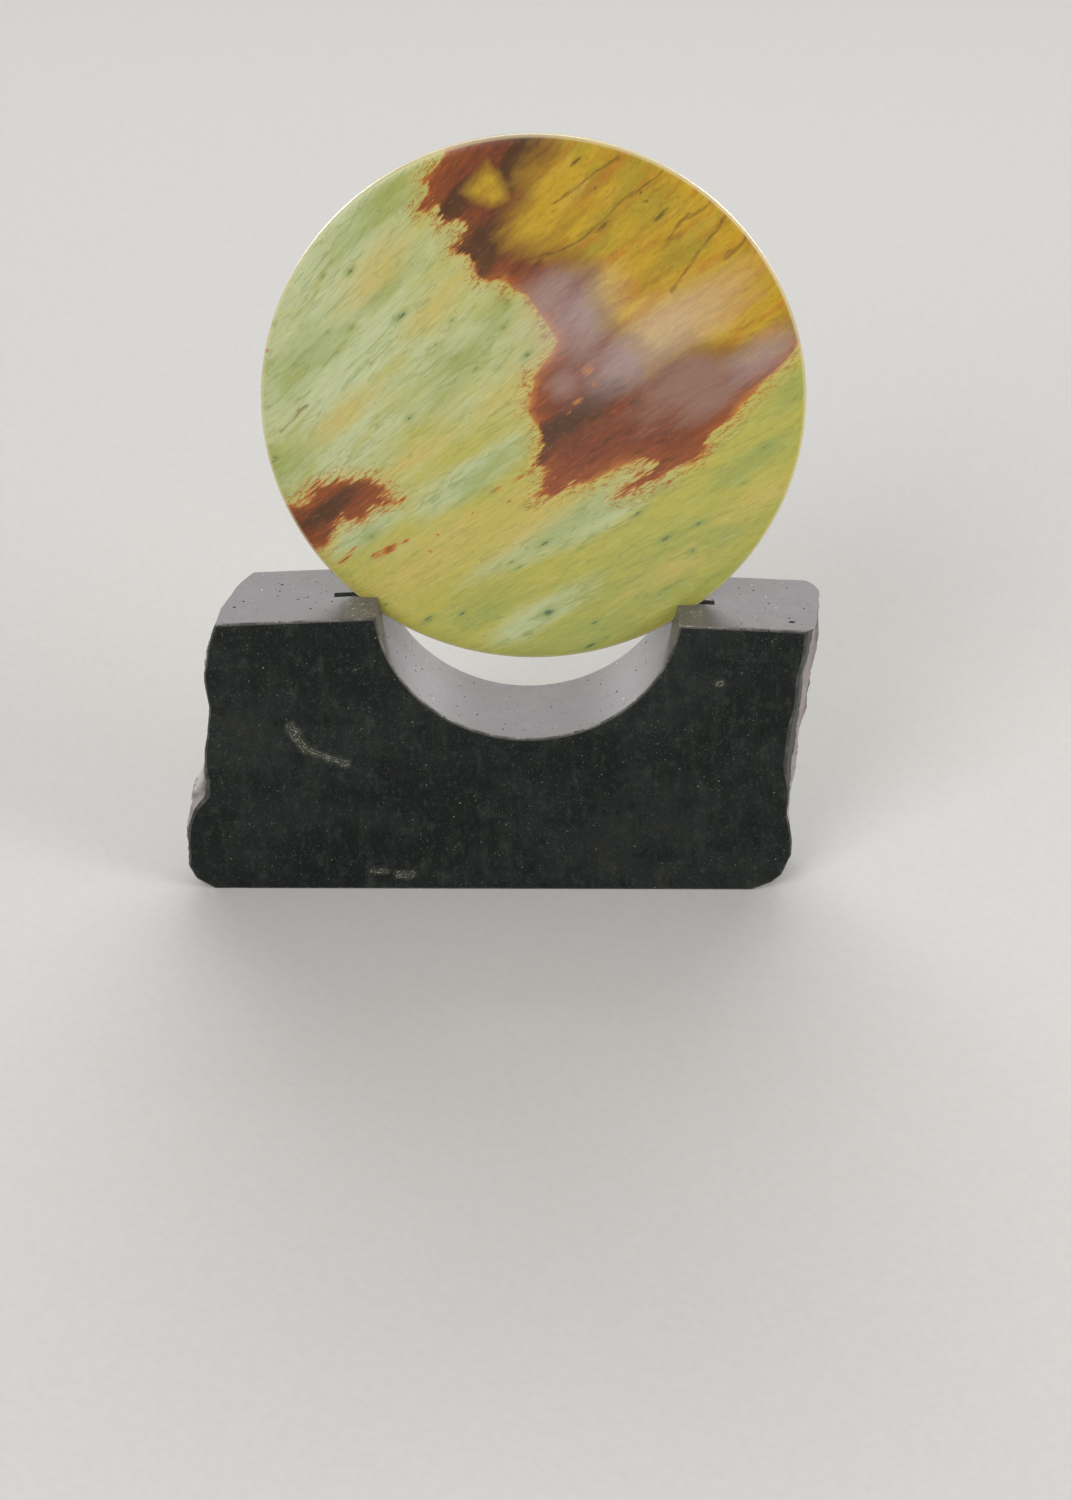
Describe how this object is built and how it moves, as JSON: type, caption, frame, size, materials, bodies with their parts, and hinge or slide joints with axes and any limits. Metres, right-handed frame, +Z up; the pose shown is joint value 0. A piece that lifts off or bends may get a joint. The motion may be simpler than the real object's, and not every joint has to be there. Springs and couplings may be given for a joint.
{
  "type": "greenstone disc on a stone stand",
  "caption": "Thin polished greenstone disc leaning back in two slots of a dark basalt block with a half-round cut-out.",
  "frame": {"origin": "bottom centre of the whole piece's box, on the surface that the stand rests on", "axes": "+Z up, +Y from the front of the stand towards its back, the way the disc leans, +X to the right seen from the front"},
  "size_m": [0.2433, 0.0436, 0.2929],
  "materials": {
    "greenstone": "satin polish",
    "basalt": "honed faces, broken and natural ends"
  },
  "bodies": {
    "root": {"greenstone_disc": "greenstone", "basalt_stand": "basalt"}
  },
  "joints": []
}
